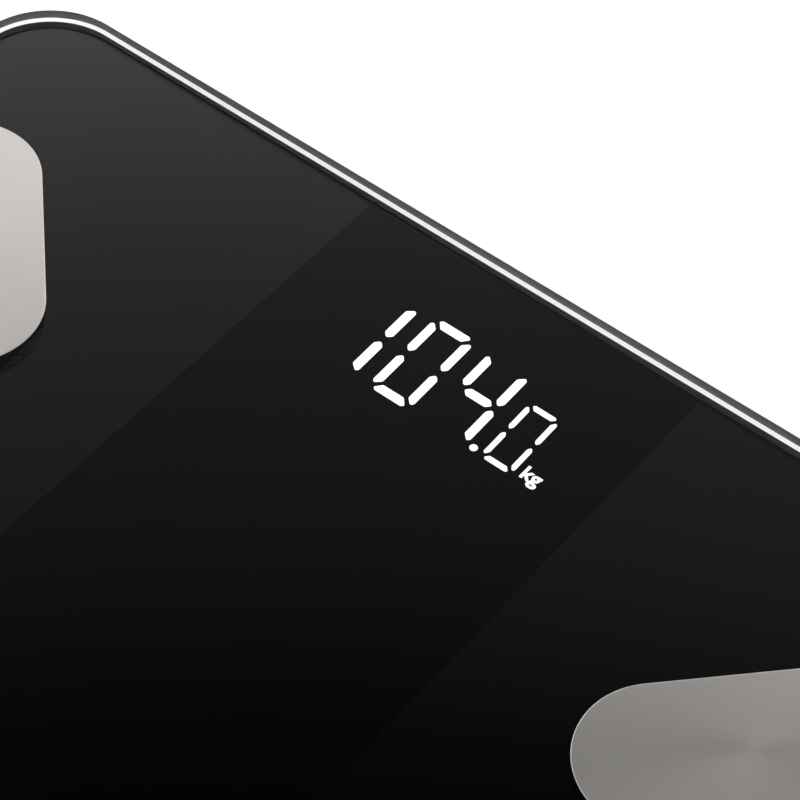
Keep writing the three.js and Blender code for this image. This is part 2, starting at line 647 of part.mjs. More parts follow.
function addUnitButton() {
  const [x, y] = BUTTON_PLACE;
  const profile = [
    [0, BUTTON_BOTTOM],
    [BUTTON_RADIUS - BUTTON_EDGE, BUTTON_BOTTOM],
    [BUTTON_RADIUS, BUTTON_BOTTOM + BUTTON_EDGE],
    [BUTTON_RADIUS, BUTTON_FLANGE_BOTTOM],
    [BUTTON_FLANGE_RADIUS, BUTTON_FLANGE_BOTTOM],
    [BUTTON_FLANGE_RADIUS, BUTTON_FLANGE_TOP],
    [BUTTON_PUSHER_RADIUS, BUTTON_FLANGE_TOP],
    [BUTTON_PUSHER_RADIUS, BUTTON_PUSHER_TOP],
    [0, BUTTON_PUSHER_TOP],
  ];
  place("unit_button", turned(profile).translate(x, y, 0), MATERIALS.footCap);
  const half = SWITCH_SIZE / 2;
  const body = block(x - half, x + half, y - half, y + half, SWITCH_BOTTOM, BOARD_BOTTOM);
  const nub = rod(x, y, SWITCH_NUB_RADIUS, SWITCH_BOTTOM - SWITCH_NUB_HEIGHT, SWITCH_BOTTOM + ROOTED);
  place("tact_switch", join(body, nub), MATERIALS.chip);
}

// ---- Power ----

// The outline in the YZ plane has a round end on the hinge line; it is then laid along X.
function addBatteryDoor() {
  const halfX = DOOR_OPENING_HALF[0] - DOOR_GAP;
  const front = -DOOR_OPENING_HALF[1] + DOOR_GAP;
  const [axisY, axisZ] = DOOR_AXIS;
  const round = DOOR_THICKNESS / 2;
  const outline = new THREE.Shape();
  outline.moveTo(front, axisZ - round);
  outline.absarc(axisY, axisZ, round, -Math.PI / 2, Math.PI / 2);
  outline.lineTo(front, axisZ + round);
  const panel = prism(outline, -halfX, halfX, 0, 6).rotateX(Math.PI / 2).rotateZ(Math.PI / 2);
  const pinLength = 2 * (halfX + DOOR_PIN_REACH);
  const pin = new THREE.CylinderGeometry(DOOR_PIN_RADIUS, DOOR_PIN_RADIUS, pinLength, 12);
  pin.rotateZ(Math.PI / 2).translate(0, axisY, axisZ);
  const latch = block(-LATCH.halfWidth, LATCH.halfWidth, LATCH.front, LATCH.back, axisZ, LATCH.top);
  const grip = (i) => {
    const near = front + GRIP.pitch * (i + 1);
    return block(-GRIP.halfWidth, GRIP.halfWidth, near, near + GRIP.width, TRAY_BOTTOM - PAST,
      TRAY_BOTTOM + GRIP.depth);
  };
  place("battery_door", cut(join(panel, pin, latch), ...[0, 1, 2].map(grip)), MATERIALS.tray);
}

function addBatteries() {
  const shoulder = BATTERY_LENGTH - BATTERY_NUB_HEIGHT;
  const profile = [
    [0, 0],
    [BATTERY_RADIUS - BATTERY_EDGE, 0],
    [BATTERY_RADIUS, BATTERY_EDGE],
    [BATTERY_RADIUS, shoulder - BATTERY_EDGE],
    [BATTERY_RADIUS - BATTERY_EDGE, shoulder],
    [BATTERY_NUB_RADIUS, shoulder],
    [BATTERY_NUB_RADIUS, BATTERY_LENGTH],
    [0, BATTERY_LENGTH],
  ];
  const points = profile.map(([radius, along]) => new THREE.Vector2(radius, along - BATTERY_LENGTH / 2));
  [1, -1, 1].forEach((way, i) => {
    const mesh = place(`battery_cell_${i + 1}`, new THREE.LatheGeometry(points, 18), MATERIALS.battery);
    mesh.position.set((i - 1) * BATTERY_PITCH, way * BATTERY_SHIFT, BATTERY_HEIGHT);
    mesh.rotation.z = way > 0 ? 0 : Math.PI;
  });
}

// A conical contact spring along Y, from a plate's face towards the cell's flat end.
function contactSpring(x, side) {
  const steps = SPRING.turns * SPRING.stepsPerTurn;
  const start = PLATE_INNER + SPRING.wire / 3;
  const points = [];
  for (let i = 0; i <= steps; i += 1) {
    const share = i / steps;
    const angle = 2 * Math.PI * SPRING.turns * share;
    const radius = SPRING.wideRadius + (SPRING.narrowRadius - SPRING.wideRadius) * share;
    const y = side * (start - SPRING.length * share);
    points.push([x + radius * Math.cos(angle), y, BATTERY_HEIGHT + radius * Math.sin(angle)]);
  }
  return tube(points, SPRING.wire, steps, 5);
}

function contactDimple(x, side) {
  const dimple = new THREE.CylinderGeometry(DIMPLE.wideRadius, DIMPLE.narrowRadius, DIMPLE.height, 16);
  const turn = side > 0 ? Math.PI : 0;
  const place = side * (PLATE_INNER + DIMPLE.sunk - DIMPLE.height / 2);
  return dimple.rotateX(turn).translate(x, place, BATTERY_HEIGHT);
}

function contactPlate(x0, x1, side) {
  const far = PLATE_INNER + PLATE_THICKNESS;
  return block(x0 - PLATE_HALF_WIDTH, x1 + PLATE_HALF_WIDTH, side * PLATE_INNER, side * far,
    PLATE_BOTTOM, PLATE_TOP);
}

function contactTab(x, side) {
  const half = PLATE_THICKNESS / 2;
  return block(x - TAB_HALF_WIDTH, x + TAB_HALF_WIDTH, side * PLATE_INNER,
    side * (PLATE_INNER + TAB_LENGTH), TAB_HEIGHT - half, TAB_HEIGHT + half);
}

function addBatteryContacts() {
  const [left, right] = [-BATTERY_PITCH, BATTERY_PITCH];
  const add = (name, ...pieces) => place(name, join(...pieces), MATERIALS.nickel);
  add("battery_contact_positive", contactPlate(left, left, 1), contactDimple(left, 1), contactTab(left, 1));
  add("battery_contact_negative", contactPlate(right, right, -1), contactSpring(right, -1),
    contactTab(right, -1));
  add("battery_link_back", contactPlate(0, right, 1), contactSpring(0, 1), contactDimple(right, 1));
  add("battery_link_front", contactPlate(left, 0, -1), contactSpring(left, -1), contactDimple(0, -1));
}

// ---- Leads, each from its part to the header on the board ----

function addLead(name, points, radius, material) {
  place(name, tube(points, radius, 2 * (points.length - 1)), material);
}

function addLeads() {
  const mirrored = (points, side) => points.map(([x, y, z]) => [side * x, y, z]);
  for (const corner of CORNERS) {
    const row = corner.y > 0 ? "back" : "front";
    const cellRoute = mirrored(LEAD_ROUTES.cell[row], corner.x);
    const electrodeRoute = mirrored(LEAD_ROUTES.electrode[row], corner.x);
    addLead(`load_cell_lead_${corner.name}`, cellRoute, LEAD_RADIUS, MATERIALS.whiteLead);
    addLead(`electrode_lead_${corner.name}`, electrodeRoute, THIN_LEAD_RADIUS, MATERIALS.blackLead);
  }
  addLead("battery_lead_positive", LEAD_ROUTES.positive, THIN_LEAD_RADIUS, MATERIALS.redLead);
  addLead("battery_lead_negative", LEAD_ROUTES.negative, THIN_LEAD_RADIUS, MATERIALS.blackLead);
}

addGlassPlatform();
addBackingFilm();
addBondingTape();
addTray();
for (const corner of CORNERS) {
  addElectrode(corner);
  addLoadCell(corner);
  addLoadCellBracket(corner);
  addFoot(corner);
}
addDisplay();
addBoard();
addBoardScrews();
addUnitButton();
addBatteryDoor();
addBatteries();
addBatteryContacts();
addLeads();

export default scale;
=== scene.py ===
"""A digital bathroom scale with a glass platform: its looks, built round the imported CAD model.

Named lengths are millimetres in the model's own frame, and MM turns them into metres.
"""
import math

import bmesh
import bpy
from mathutils import Matrix, Vector


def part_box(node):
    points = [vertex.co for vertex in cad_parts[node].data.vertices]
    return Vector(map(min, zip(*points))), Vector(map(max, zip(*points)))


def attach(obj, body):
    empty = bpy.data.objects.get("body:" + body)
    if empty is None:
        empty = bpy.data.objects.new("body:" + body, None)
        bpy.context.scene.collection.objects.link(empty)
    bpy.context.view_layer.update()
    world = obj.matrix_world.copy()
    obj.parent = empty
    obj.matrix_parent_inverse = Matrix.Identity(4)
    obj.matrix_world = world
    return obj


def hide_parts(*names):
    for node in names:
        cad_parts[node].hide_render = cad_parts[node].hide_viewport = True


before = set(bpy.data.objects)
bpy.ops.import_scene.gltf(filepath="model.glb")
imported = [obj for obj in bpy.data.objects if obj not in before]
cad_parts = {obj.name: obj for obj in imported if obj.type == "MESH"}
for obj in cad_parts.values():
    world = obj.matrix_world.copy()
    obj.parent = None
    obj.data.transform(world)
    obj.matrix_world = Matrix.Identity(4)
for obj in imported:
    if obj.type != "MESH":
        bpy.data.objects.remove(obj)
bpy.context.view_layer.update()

MM = 0.001

# Camera
CAMERA_TARGET = (-5.0, 105.4, 22.0)
CAMERA_DISTANCE = 685.3
CAMERA_AZIMUTH = 35.053
CAMERA_ELEVATION = 49.823
CAMERA_ROLL = 3.897
CAMERA_LENS = 141.46
CAMERA_SENSOR = 36.0
CAMERA_NEAR = 10.0
CAMERA_FAR = 50000.0

# Studio
FLOOR_HALF = 6000.0
FLOOR_GLOW = 0.62
# How bright the sky is at each height above the horizon, in degrees: a tall soft screen that fades
# out upwards into a dark band, with a lighter zenith above the band
SKY = (
    (0, 0.95), (8, 0.9), (18, 0.55), (25, 0.6), (30, 1.4), (34, 2.0), (38, 2.0), (41, 1.35), (43, 0.88),
    (44, 0.72), (45, 0.58), (46, 0.465), (47, 0.37), (48, 0.295), (50, 0.21), (52, 0.155), (54, 0.09),
    (56, 0.037), (60, 0.005), (63, 0.01), (70, 0.3), (80, 0.45),
)
SKY_STRENGTH = 2.0  # the brightest value above
LIGHT_PLACE = (-250.0, 100.0, 2000.0)
LIGHT_TARGET = (0.0, 50.0, 0.0)
LIGHT_SIZE = 900.0
LIGHT_POWER = 3.0  # watts

# Glass: its place and size come from the frame
GLASS_CORNER = 21.0
GLASS_TOP_ROLL = 0.3
GLASS_FOOT_CHAMFER = 0.9

# Print, inside the glass just above its underside
INK_GAP = 0.03  # from the CAD glass's underside to this glass's, and from there to the print
INK_THICKNESS = 0.04
LAYER_STEP = 0.01  # between the field, the panels and the lit shapes
PRINT_MARGIN = 0.9  # from the glass's edge to the field
PANEL_MARGIN = 3.6  # from the glass's edge to the panels
PANEL_CORNER = 17.0
PANEL_STEPS = 24
BAND_HALF_WIDTH = 45.85
INK_ROUGHNESS = 0.01
FIELD_REFLECTION = 0.0464
PANEL_REFLECTION = 0.067

# Electrodes
ELECTRODE_RADIUS = 18.3
ELECTRODE_HALF_LENGTH = 18.85
ELECTRODE_SLANT = 46.5
ELECTRODE_ROLL = 0.2
# Black tape under each plate: real bonding tape, whose black rim also stands in for the contact shadow under
# the plate's edge, as painted shade
TAPE_AND_SHADE_INSET = 0.7
TAPE_AND_SHADE_THICKNESS = 0.1
STUD_RADIUS = 2.0
STUD_CHAMFER = 0.3

# Read-out
DISPLAY_MIDDLE = 116.35
BASELINE_DEPTH = 12.79  # from the middle of a full-size digit to its foot
DIGIT_LEAN = -0.018
CORNER_ROUNDING = 0.3
HALF_WIDTH = 5.67  # of a full-size digit
STROKE = 2.1  # of an upright bar
BAR = 2.35  # the height of a level bar
# Each digit: its piece, its lit segments, the x of its middle, its size across and up, and its stroke
DIGITS = (
    ("lit_hundreds", "bc", -22.71, (1.0, 1.0), 1.1),
    ("lit_tens", "abcdef", -7.38, (1.0, 1.0), 1.0),
    ("lit_ones", "fgbc", 8.04, (1.0, 1.0), 1.0),
    ("lit_tenths", "abcdef", 21.91, (0.742, 0.748), 0.83),
)
POINT_PLACE = (15.75, 104.55)
POINT_RADIUS = 0.95
UNIT_PLACE = (27.72, 104.6)
UNIT_HEIGHT = 5.25
UNIT_BOLDNESS = 0.14
LIT_THICKNESS = 0.04
LIT_STRENGTH = 1.3

# Rubber treads of the feet
TREAD_RADIUS = 16.0
TREAD_FLAT = 14.6  # the radius where the rounded shoulder starts
TREAD_SHOULDER = ((0.6, 0.12), (1.15, 0.75), (1.4, 1.2))  # (radius beyond the flat, height)
GROOVE_RADII = (3.0, 6.0, 9.0, 12.0)
GROOVE_DEPTH = 0.6
GROOVE_MOUTH = 0.5  # half the width at the open side
GROOVE_ROOT = 0.25  # half the width at the bottom

# Softened edges of the CAD nodes
EDGE_WIDTH = 0.15
EDGE_SEGMENTS = 2
EDGE_ANGLE = 40.0
WELD_REACH = 0.001

# A noise pattern stays mostly between these two values
NOISE_LOW = 0.3
NOISE_HIGH = 0.7

# The side of the platform that each corner is on, across and away from the person
CORNERS = {
    "back_left": (-1, 1),
    "back_right": (1, 1),
    "front_left": (-1, -1),
    "front_right": (1, -1),
}


# ---- Outlines, as lists of (x, y) in millimetres ----

def arc(centre, radius, start, end, steps):
    """Points on an arc, from start to end in degrees."""
    angles = [math.radians(start + (end - start) * i / steps) for i in range(steps + 1)]
    return [(centre[0] + radius * math.cos(a), centre[1] + radius * math.sin(a)) for a in angles]


def rounded_square(half, radius, steps=32):
    inner = half - radius
    corners = ((inner, inner, 0), (-inner, inner, 90), (-inner, -inner, 180), (inner, -inner, 270))
    return [p for x, y, start in corners for p in arc((x, y), radius, start, start + 90, steps)]


def stadium(half_length, radius, steps=48):
    right = arc((half_length, 0), radius, -90, 90, steps)
    left = arc((-half_length, 0), radius, 90, 270, steps)
    return right + left


def softened(points, radius, steps=4, most=0.45):
    """The polygon with each corner rounded off, over at most this share of its two sides."""
    outline = []
    for i, point in enumerate(points):
        corner = Vector(point)
        arms = []
        for other in (points[i - 1], points[(i + 1) % len(points)]):
            way = Vector(other) - corner
            arms.append(corner + way * min(most, radius / way.length))
        for step in range(steps + 1):
            t = step / steps
            spot = arms[0] * (1 - t) ** 2 + corner * 2 * t * (1 - t) + arms[1] * t ** 2
            outline.append(tuple(spot))
    return outline


# ---- Meshes ----

def new_object(name, mesh, materials):
    piece = bpy.data.objects.new(name, mesh)
    bpy.context.scene.collection.objects.link(piece)
    for material in materials:
        mesh.materials.append(material)
    return piece


def smooth(mesh, angle=35.0):
    mesh.polygons.foreach_set("use_smooth", [True] * len(mesh.polygons))
    mesh.set_sharp_from_angle(angle=math.radians(angle))


def lofted(name, rings, materials, side_material=0, angle=35.0):
    """A closed solid through rings of (x, y, z), from the bottom ring to the top one."""
    bm = bmesh.new()
    levels = [[bm.verts.new(Vector(p) * MM) for p in ring] for ring in rings]
    count = len(rings[0])
    for low, high in zip(levels, levels[1:]):
        for i in range(count):
            j = (i + 1) % count
            face = bm.faces.new((low[i], low[j], high[j], high[i]))
            face.material_index = side_material
    bm.faces.new(list(reversed(levels[0])))
    bm.faces.new(levels[-1])
    bm.normal_update()
    mesh = bpy.data.meshes.new(name)
    bm.to_mesh(mesh)
    bm.free()
    smooth(mesh, angle)
    # The two ends stay flat, so that the rolled edges don't tilt their reflections
    for end in (-1, -2):
        mesh.polygons[end].use_smooth = False
    return new_object(name, mesh, materials)


def plate_rings(outline_at, bottom, top, foot_roll, top_roll, foot_steps=5, top_steps=5):
    """Rings of a plate with rolled edges, where outline_at(inset) gives its outline.

    A roll of one step is a chamfer.
    """
    foot_edge = (bottom + foot_roll, foot_roll, 270, foot_steps)
    top_edge = (top - top_roll, top_roll, 0, top_steps)
    rings = []
    for centre, roll, start, steps in (foot_edge, top_edge):
        for x, z in arc((0, centre), roll, start, start + 90, steps):
            rings.append([(px, py, z) for px, py in outline_at(roll - x)])
    return rings


def flat_piece(name, outline, bottom, top, material):
    rings = [[(x, y, z) for x, y in outline] for z in (bottom, top)]
    return lofted(name, rings, [material])


def turned(name, profile, materials, sides=96, angle=35.0):
    """A body turned about its upright axis. Its profile lists (radius, height), from axis to axis."""
    bm = bmesh.new()
    first = bm.verts.new((0, 0, profile[0][1] * MM))
    last = bm.verts.new((0, 0, profile[-1][1] * MM))
    rings = []
    for radius, height in profile[1:-1]:
        circle = arc((0, 0), radius, 0, 360 - 360 / sides, sides - 1)
        rings.append([bm.verts.new((x * MM, y * MM, height * MM)) for x, y in circle])
    for i in range(sides):
        j = (i + 1) % sides
        bm.faces.new((first, rings[0][j], rings[0][i]))
        bm.faces.new((last, rings[-1][i], rings[-1][j]))
        for low, high in zip(rings, rings[1:]):
            bm.faces.new((low[i], low[j], high[j], high[i]))
    mesh = bpy.data.meshes.new(name)
    bm.to_mesh(mesh)
    bm.free()
    smooth(mesh, angle)
    return new_object(name, mesh, materials)


# ---- Node materials ----

class Finish:
    """A node material round one Principled shader, with its patterns in real sizes."""

    def __init__(self, name, color, roughness, metallic=0.0, **sockets):
        self.material = bpy.data.materials.new(name)
        self.material.use_nodes = True
        self.tree = self.material.node_tree
        self.shader = self.tree.nodes["Principled BSDF"]
        self.normal = None
        self.set("Base Color", (*color, 1.0))
        self.set("Roughness", roughness)
        self.set("Metallic", metallic)
        for socket, value in sockets.items():
            self.set(socket.replace("_", " "), value)

    def set(self, socket, value):
        self.shader.inputs[socket].default_value = value

    def node(self, kind, **settings):
        node = self.tree.nodes.new(kind)
        for name, value in settings.items():
            setattr(node, name, value)
        return node

    def link(self, source, target):
        self.tree.links.new(source, target)

    def place(self, stretch=(1.0, 1.0, 1.0)):
        """Object coordinates in metres, stretched."""
        coordinates = self.node("ShaderNodeTexCoord")
        mapping = self.node("ShaderNodeMapping")
        mapping.inputs["Scale"].default_value = stretch
        self.link(coordinates.outputs["Object"], mapping.inputs["Vector"])
        return mapping.outputs["Vector"]

    def rings(self, reach):
        """Coordinates that change with the distance from the object's own upright axis.

        Round the axis they change by no more than reach millimetres either way.
        """
        split = self.node("ShaderNodeSeparateXYZ")
        self.link(self.place(), split.inputs[0])
        flat = self.node("ShaderNodeCombineXYZ")
        self.link(split.outputs["X"], flat.inputs["X"])
        self.link(split.outputs["Y"], flat.inputs["Y"])
        length = self.node("ShaderNodeVectorMath", operation="LENGTH")
        self.link(flat.outputs[0], length.inputs[0])
        unit = self.node("ShaderNodeVectorMath", operation="NORMALIZE")
        self.link(flat.outputs[0], unit.inputs[0])
        shortened = self.node("ShaderNodeVectorMath", operation="SCALE")
        self.link(unit.outputs[0], shortened.inputs[0])
        shortened.inputs["Scale"].default_value = reach * MM
        spots = self.node("ShaderNodeSeparateXYZ")
        self.link(shortened.outputs[0], spots.inputs[0])
        joined = self.node("ShaderNodeCombineXYZ")
        self.link(length.outputs["Value"], joined.inputs["X"])
        self.link(spots.outputs["X"], joined.inputs["Y"])
        self.link(spots.outputs["Y"], joined.inputs["Z"])
        return joined.outputs[0]

    def noise(self, grain, detail=2.0, where=None, stretch=(1.0, 1.0, 1.0)):
        """A noise pattern whose features are about grain millimetres across."""
        texture = self.node("ShaderNodeTexNoise")
        texture.inputs["Scale"].default_value = 1 / (grain * MM)
        texture.inputs["Detail"].default_value = detail
        self.link(where or self.place(stretch), texture.inputs["Vector"])
        return texture.outputs["Fac"]

    def cells(self, grain):
        """A pattern of rounded cells about grain millimetres across."""
        texture = self.node("ShaderNodeTexVoronoi")
        texture.inputs["Scale"].default_value = 1 / (grain * MM)
        self.link(self.place(), texture.inputs["Vector"])
        return texture.outputs["Distance"]

    def roughness(self, source, low, high):
        """The roughness from a noise pattern, from low to high."""
        spread = self.node("ShaderNodeMapRange")
        spread.inputs["From Min"].default_value = NOISE_LOW
        spread.inputs["From Max"].default_value = NOISE_HIGH
        spread.inputs["To Min"].default_value = low
        spread.inputs["To Max"].default_value = high
        self.link(source, spread.inputs["Value"])
        self.link(spread.outputs["Result"], self.shader.inputs["Roughness"])

    def colors(self, source, *stops):
        """The base colour from a ramp of (position, colour)."""
        ramp = self.node("ShaderNodeValToRGB")
        elements = ramp.color_ramp.elements
        elements.remove(elements[1])
        for i, (position, color) in enumerate(stops):
            element = elements[0] if i == 0 else elements.new(position)
            element.position = position
            element.color = (*color, 1.0)
        self.link(source, ramp.inputs["Fac"])
        self.link(ramp.outputs["Color"], self.shader.inputs["Base Color"])

    def bump(self, source, height, strength=1.0):
        """Relief of height millimetres, added to the relief already there."""
        bump = self.node("ShaderNodeBump")
        bump.inputs["Distance"].default_value = height * MM
        bump.inputs["Strength"].default_value = strength
        self.link(source, bump.inputs["Height"])
        if self.normal:
            self.link(self.normal, bump.inputs["Normal"])
        self.normal = bump.outputs["Normal"]
        self.link(self.normal, self.shader.inputs["Normal"])


def shaded(color, share):
    """The colour made lighter or darker by a share."""
    return tuple(channel * share for channel in color)


def polished_glass():
    """Clear glass with no gloss of its own, because the print inside it carries the whole gloss."""
    finish = Finish("polished_glass", (0.975, 0.99, 0.985), 0.0, Transmission_Weight=1.0, IOR=1.52)
    finish.set("Specular Tint", (0.0, 0.0, 0.0, 1.0))
    finish.bump(finish.noise(60.0, detail=1.0), 0.004, 0.2)
    return finish.material


def ground_glass():
    """The ground edge of the glass, with fine level grinding marks."""
    finish = Finish("ground_glass_edge", (0.93, 0.955, 0.945), 0.35, Transmission_Weight=0.95, IOR=1.52)
    finish.roughness(finish.noise(3.0), 0.32, 0.38)
    finish.bump(finish.noise(0.3, stretch=(0.06, 0.06, 1.0)), 0.002, 0.3)
    return finish.material


def gloss_ink(name, reflection):
    """Black print: nearly a black mirror, which reflects this share of the light."""
    black = (reflection, reflection, reflection)
    finish = Finish(name, black, INK_ROUGHNESS, metallic=1.0)
    clouds = finish.noise(14.0, detail=4.0)
    finish.colors(clouds, (0.35, shaded(black, 0.985)), (0.65, shaded(black, 1.015)))
    return finish.material


def lit():
    """An evenly lit white segment."""
    material = bpy.data.materials.new("lit_segment")
    material.use_nodes = True
    nodes = material.node_tree.nodes
    nodes.clear()
    emission = nodes.new("ShaderNodeEmission")
    emission.inputs["Color"].default_value = (1.0, 1.0, 1.0, 1.0)
    emission.inputs["Strength"].default_value = LIT_STRENGTH
    output = nodes.new("ShaderNodeOutputMaterial")
    material.node_tree.links.new(emission.outputs[0], output.inputs["Surface"])
    return material


def brushed_steel():
    """Steel brushed in fine rings, whose sheen fans out from the middle of each plate."""
    steel = (0.845, 0.808, 0.772)
    finish = Finish("brushed_steel", steel, 0.28, metallic=1.0, Anisotropic=0.35)
    finish.set("Anisotropic Rotation", 0.25)
    rings = finish.noise(0.9, detail=1.0, where=finish.rings(1.0))
    finish.colors(rings, (NOISE_LOW, (0.838, 0.801, 0.765)), (NOISE_HIGH, (0.852, 0.814, 0.778)))
    finish.roughness(rings, 0.275, 0.285)
    finish.bump(rings, 0.0008, 0.3)
    tangent = finish.node("ShaderNodeTangent", direction_type="RADIAL", axis="Z")
    finish.link(tangent.outputs[0], finish.shader.inputs["Tangent"])
    return finish.material


def tape_and_contact_shade():
    # Real black bonding tape, whose black is also painted shade: it stands in for the contact shadow under
    # each plate's edge
    finish = Finish("tape_and_contact_shade", (0.02, 0.02, 0.02), 0.7)
    finish.bump(finish.noise(0.3), 0.02)
    return finish.material


def moulded(name, color, grain, rough, relief):
    """Moulded plastic with a spark-eroded or satin skin: fine cells over slow waves."""
    low, high = rough
    finish = Finish(name, color, (low + high) / 2)
    clouds = finish.noise(9.0, detail=3.0)
    finish.colors(clouds, (0.35, shaded(color, 0.88)), (0.65, shaded(color, 1.15)))
    finish.roughness(finish.noise(grain * 2), low, high)
    finish.bump(finish.cells(grain), relief, 0.5)
    finish.bump(finish.noise(grain * 14, detail=1.0), relief * 0.6, 0.3)
    return finish.material


def sleeve(name, color):
    """The smooth plastic sleeve of a lead."""
    return moulded(name, color, grain=0.4, rough=(0.35, 0.45), relief=0.005)


def rubber():
    finish = Finish("foot_rubber", (0.05, 0.051, 0.053), 0.85)
    specks = finish.noise(1.2, detail=4.0)
    finish.colors(specks, (0.35, (0.04, 0.041, 0.043)), (0.7, (0.075, 0.076, 0.08)))
    finish.roughness(finish.noise(0.5), 0.75, 0.95)
    finish.bump(finish.noise(0.15, detail=3.0), 0.02)
    return finish.material


def foam():
    finish = Finish("foam", (0.035, 0.035, 0.037), 0.95)
    finish.bump(finish.cells(0.35), 0.12)
    finish.colors(finish.cells(0.35), (0.0, (0.02, 0.02, 0.021)), (0.8, (0.05, 0.05, 0.053)))
    return finish.material


def rolled_metal(name, color, roughness):
    """Plated sheet metal with long rolling marks."""
    finish = Finish(name, color, roughness, metallic=1.0)
    grains = finish.noise(0.3, detail=3.0, stretch=(1.0, 0.12, 1.0))
    finish.colors(grains, (NOISE_LOW, shaded(color, 0.85)), (NOISE_HIGH, color))
    finish.roughness(grains, roughness * 0.8, roughness * 1.25)
    finish.bump(grains, 0.003, 0.5)
    return finish.material


def circuit_board():
    """Green solder mask over tracks, which show as lighter lines 1.5 mm apart."""
    finish = Finish("circuit_board", (0.01, 0.09, 0.035), 0.35)
    tracks = finish.node("ShaderNodeTexBrick")
    tracks.inputs["Scale"].default_value = 1 / (6.0 * MM)
    tracks.inputs["Mortar Size"].default_value = 0.05
    tracks.inputs["Color1"].default_value = (0.01, 0.085, 0.032, 1.0)
    tracks.inputs["Color2"].default_value = (0.009, 0.075, 0.029, 1.0)
    tracks.inputs["Mortar"].default_value = (0.03, 0.16, 0.06, 1.0)
    finish.link(finish.place(), tracks.inputs["Vector"])
    finish.link(tracks.outputs["Color"], finish.shader.inputs["Base Color"])
    finish.bump(tracks.outputs["Fac"], 0.03, 0.5)
    return finish.material


def battery_jacket():
    """A plain dark sleeve with a faint metallic sheen."""
    finish = Finish("battery_jacket", (0.1, 0.11, 0.13), 0.3, metallic=0.6)
    finish.colors(finish.noise(2.0), (NOISE_LOW, (0.09, 0.1, 0.12)), (NOISE_HIGH, (0.13, 0.14, 0.16)))
    finish.roughness(finish.noise(1.0), 0.22, 0.36)
    return finish.material


def floor_white():
    """A white studio floor that can be seen through from below."""
    finish = Finish("floor_white", (0.9, 0.9, 0.9), 0.9, Specular_IOR_Level=0.0)
    finish.set("Emission Color", (1.0, 1.0, 1.0, 1.0))
    finish.set("Emission Strength", FLOOR_GLOW)
    clear = finish.node("ShaderNodeBsdfTransparent")
    sides = finish.node("ShaderNodeMixShader")
    facing = finish.node("ShaderNodeNewGeometry")
    output = finish.tree.nodes["Material Output"]
    finish.link(facing.outputs["Backfacing"], sides.inputs["Fac"])
    finish.link(finish.shader.outputs[0], sides.inputs[1])
    finish.link(clear.outputs[0], sides.inputs[2])
    finish.link(sides.outputs[0], output.inputs["Surface"])
    return finish.material


# ---- Camera, light and floor ----

def add_camera():
    turn = Matrix.Rotation(math.radians(CAMERA_AZIMUTH), 4, "Z")
    turn @= Matrix.Rotation(math.radians(90 - CAMERA_ELEVATION), 4, "X")
    turn @= Matrix.Rotation(math.radians(CAMERA_ROLL), 4, "Z")
    back = turn @ Vector((0, 0, 1))
    data = bpy.data.cameras.new("camera")
    data.lens = CAMERA_LENS
    data.sensor_width = CAMERA_SENSOR
    data.clip_start = CAMERA_NEAR * MM
    data.clip_end = CAMERA_FAR * MM
    camera = bpy.data.objects.new("camera", data)
    place = Vector(CAMERA_TARGET) * MM + back * CAMERA_DISTANCE * MM
    camera.matrix_world = Matrix.Translation(place) @ turn
    bpy.context.scene.collection.objects.link(camera)
    bpy.context.scene.camera = camera


def add_sky():
    """A world whose brightness follows the height above the horizon."""
    world = bpy.data.worlds.new("studio")
    bpy.context.scene.world = world
    world.use_nodes = True
    nodes, links = world.node_tree.nodes, world.node_tree.links
    coordinates = nodes.new("ShaderNodeTexCoord")
    direction = nodes.new("ShaderNodeSeparateXYZ")
    links.new(coordinates.outputs["Generated"], direction.inputs[0])
    ramp = nodes.new("ShaderNodeValToRGB")
    elements = ramp.color_ramp.elements
    elements.remove(elements[1])
    for i, (degrees, value) in enumerate(SKY):
        position = math.sin(math.radians(degrees))
        element = elements[0] if i == 0 else elements.new(position)
        element.position = position
        grey = value / SKY_STRENGTH
        element.color = (grey, grey, grey, 1.0)
    links.new(direction.outputs["Z"], ramp.inputs["Fac"])
    background = nodes["Background"]
    links.new(ramp.outputs["Color"], background.inputs["Color"])
    # The print carries the gloss of the clear glass, so perfectly sharp reflections see no sky
    path = nodes.new("ShaderNodeLightPath")
    mirrored = nodes.new("ShaderNodeMath")
    mirrored.operation = "MULTIPLY"
    links.new(path.outputs["Is Singular Ray"], mirrored.inputs[0])
    links.new(path.outputs["Is Reflection Ray"], mirrored.inputs[1])
    strength = nodes.new("ShaderNodeMapRange")
    strength.inputs["To Min"].default_value = SKY_STRENGTH
    strength.inputs["To Max"].default_value = 0.0
    links.new(mirrored.outputs[0], strength.inputs["Value"])
    links.new(strength.outputs["Result"], background.inputs["Strength"])


def add_light():
    data = bpy.data.lights.new("overhead_light", "AREA")
    data.shape = "SQUARE"
    data.size = LIGHT_SIZE * MM
    data.energy = LIGHT_POWER
    lamp = bpy.data.objects.new("overhead_light", data)
    lamp.location = Vector(LIGHT_PLACE) * MM
    lamp.visible_glossy = False  # the sky alone is mirrored
    way = Vector(LIGHT_TARGET) - Vector(LIGHT_PLACE)
    lamp.rotation_mode = "QUATERNION"
    lamp.rotation_quaternion = way.to_track_quat("-Z", "Y")
    bpy.context.scene.collection.objects.link(lamp)


def add_floor():
    half = FLOOR_HALF * MM
    mesh = bpy.data.meshes.new("floor")
    corners = [(-half, -half, 0), (half, -half, 0), (half, half, 0), (-half, half, 0)]
    mesh.from_pydata(corners, [], [(0, 1, 2, 3)])
    floor = bpy.data.objects.new("floor", mesh)
    mesh.materials.append(floor_white())
    bpy.context.scene.collection.objects.link(floor)


# ---- The platform ----

